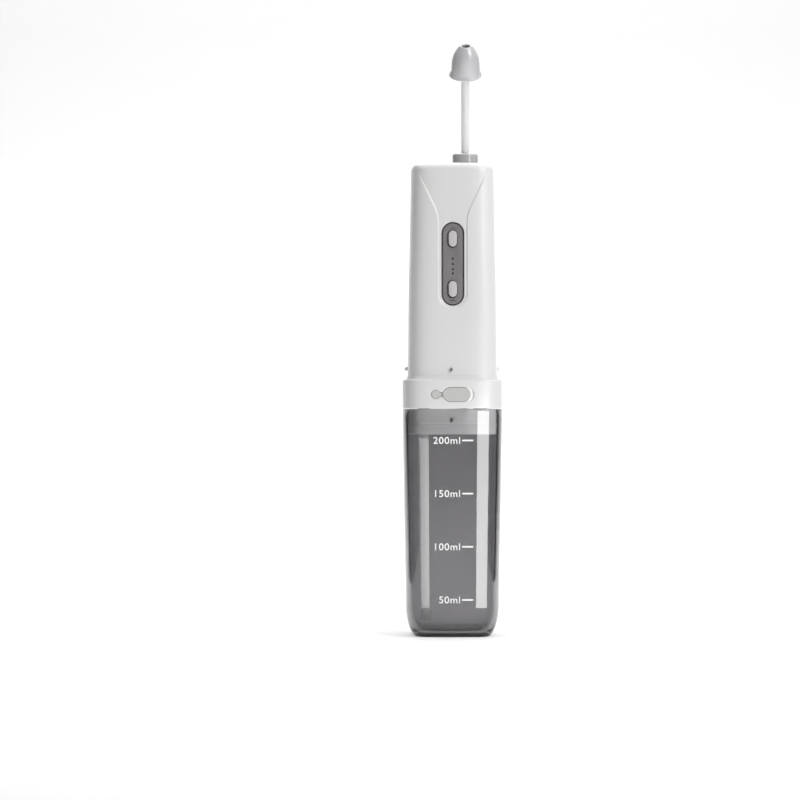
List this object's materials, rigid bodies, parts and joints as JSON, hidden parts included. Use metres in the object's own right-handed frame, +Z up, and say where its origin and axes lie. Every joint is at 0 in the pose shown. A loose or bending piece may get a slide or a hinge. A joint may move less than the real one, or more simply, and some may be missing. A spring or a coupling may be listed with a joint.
{
  "type": "ear wax cleaner",
  "caption": "Cordless ear irrigator: smoky square water tank with a volume scale, white tapering pump handset, turning bent nozzle and soft silicone ear tip.",
  "frame": {"origin": "centre of the tank's flat foot, on the surface it stands on", "axes": "+Z up along the device, -Y out of the face with the control panel, +X to the right seen from the front"},
  "size_m": [0.051, 0.051, 0.3032],
  "materials": {
    "clear_smoke": "clear smoke-grey moulding",
    "white_shell": "fine satin moulding",
    "pale_plastic": "satin moulding",
    "panel_graphite": "fine matt texture",
    "key_grey": "satin moulding",
    "light_guide": "clear polished",
    "port_silicone": "matt silicone",
    "nozzle_grey": "satin moulding",
    "nozzle_milk": "milky translucent",
    "tip_silicone": "soft matt silicone",
    "seal_rubber": "matt",
    "screw_steel": "plain",
    "board_green": "solder mask",
    "switch_black": "matt",
    "cell_wrap": "shrink sleeve",
    "motor_can": "zinc plated",
    "pinion_brass": "turned",
    "nylon": "plain",
    "frame_grey": "matt moulding"
  },
  "bodies": {
    "tank": {"tank": "clear_smoke"},
    "handset": {"handset_shell": "white_shell", "collar_ring": "white_shell", "neck_plug": "pale_plastic", "neck_gasket": "tip_silicone", "port_cover_anchor": "port_silicone", "control_panel": "panel_graphite", "status_light_1": "light_guide", "status_light_2": "light_guide", "status_light_3": "light_guide", "status_light_4": "light_guide", "circuit_board": "board_green", "charge_board": "board_green", "charge_socket": "screw_steel", "power_switch": "switch_black", "mode_switch": "switch_black", "chassis_frame": "frame_grey", "battery_cell": "cell_wrap", "drive_motor": "motor_can", "base_screw_1": "screw_steel", "base_screw_2": "screw_steel", "base_screw_3": "screw_steel", "base_screw_4": "screw_steel", "pump_screw_1": "screw_steel", "pump_screw_2": "screw_steel", "crank_axle": "screw_steel", "pump_cylinder": "pale_plastic", "valve_block": "frame_grey", "inlet_valve": "seal_rubber", "outlet_valve": "seal_rubber", "suction_tube": "nozzle_milk", "suction_filter": "pale_plastic", "inlet_hose": "nozzle_milk", "outlet_hose": "nozzle_milk", "nozzle_socket": "pale_plastic"},
    "power_key": {"power_button": "key_grey"},
    "mode_key": {"mode_button": "key_grey"},
    "port_flap": {"port_cover": "port_silicone"},
    "motor_rotor": {"motor_pinion": "pinion_brass"},
    "crank": {"crank_gear": "nylon"},
    "piston": {"piston_yoke": "nylon", "piston_seal": "seal_rubber"},
    "nozzle_base": {"nozzle_stem": "nozzle_grey", "stem_oring": "seal_rubber"},
    "nozzle": {"nozzle_collar": "nozzle_grey", "nozzle_tube": "nozzle_milk"},
    "soft_tip": {"ear_tip": "tip_silicone"}
  },
  "joints": [
    {"name": "handset_lift", "type": "slide", "parent": "tank", "child": "handset", "axis": [0, 0, 1], "range_m": [0, 0.118]},
    {"name": "nozzle_pull", "type": "slide", "parent": "handset", "child": "nozzle_base", "axis": [0, 0, 1], "range_m": [0, 0.02]},
    {"name": "nozzle_turn", "type": "hinge", "parent": "nozzle_base", "child": "nozzle", "pos_m": [0.0068, 0, 0.2419], "axis": [0, 0, 1], "continuous": true},
    {"name": "ear_tip_pull", "type": "slide", "parent": "nozzle", "child": "soft_tip", "axis": [0, -0.5, 0.866], "range_m": [0, 0.016]},
    {"name": "power_button_press", "type": "slide", "parent": "handset", "child": "power_key", "axis": [0, 0.9998, -0.021], "range_m": [0, 0.0007], "stiffness_N_per_m": 900},
    {"name": "mode_button_press", "type": "slide", "parent": "handset", "child": "mode_key", "axis": [0, 0.9998, -0.021], "range_m": [0, 0.0007], "stiffness_N_per_m": 900},
    {"name": "port_cover_swing", "type": "hinge", "parent": "handset", "child": "port_flap", "pos_m": [-0.0052, -0.0254, 0.1235], "axis": [0, 0, -1], "range_deg": [0, 100]},
    {"name": "crank_spin", "type": "hinge", "parent": "handset", "child": "crank", "pos_m": [0.0096, 0.0031, 0.1737], "axis": [0, 1, 0], "continuous": true},
    {"name": "motor_spin", "type": "hinge", "parent": "handset", "child": "motor_rotor", "pos_m": [0.0096, 0.008, 0.182], "axis": [0, 0, 1], "continuous": true},
    {"name": "piston_stroke", "type": "slide", "parent": "handset", "child": "piston", "axis": [0, 0, 1], "range_m": [0, 0.006]}
  ],
  "couplings": [
    {"joint": "motor_spin", "follows": "crank_spin", "ratio": 4}
  ]
}
